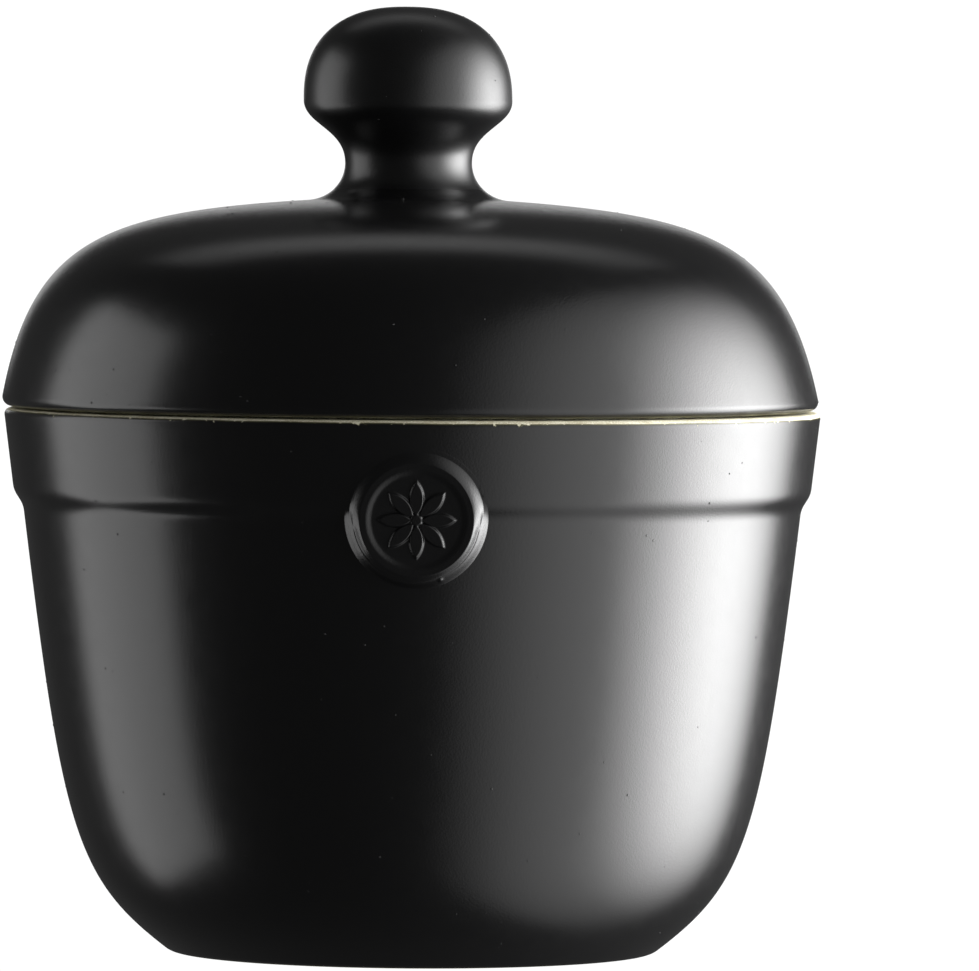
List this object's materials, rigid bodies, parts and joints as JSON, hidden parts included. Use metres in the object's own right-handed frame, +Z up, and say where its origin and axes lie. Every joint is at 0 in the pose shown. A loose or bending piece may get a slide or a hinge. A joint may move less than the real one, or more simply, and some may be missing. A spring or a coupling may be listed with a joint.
{
  "type": "lidded sugar bowl",
  "caption": "Round stoneware sugar bowl with a raised band and a small round medallion below its rim, under a domed lift-off lid with a mushroom knob.",
  "frame": {"origin": "centre of the standing ring, on the surface that the bowl stands on", "axes": "+Z up along the axis that the bowl and lid were turned on; the front, with the medallion, faces -Y; +X to the right as seen from the front"},
  "size_m": [0.1106, 0.1106, 0.1282],
  "materials": {
    "black_glaze": "satin",
    "bare_clay": "matte"
  },
  "bodies": {
    "bowl": {"bowl_body": "black_glaze", "medallion": "black_glaze"},
    "lid": {"lid_dome": "black_glaze", "lid_flange": "bare_clay", "lid_knob": "black_glaze"}
  },
  "joints": [
    {"name": "lid_lift", "type": "slide", "parent": "bowl", "child": "lid", "axis": [0, 0, 1], "range_m": [0, 0.1]}
  ]
}
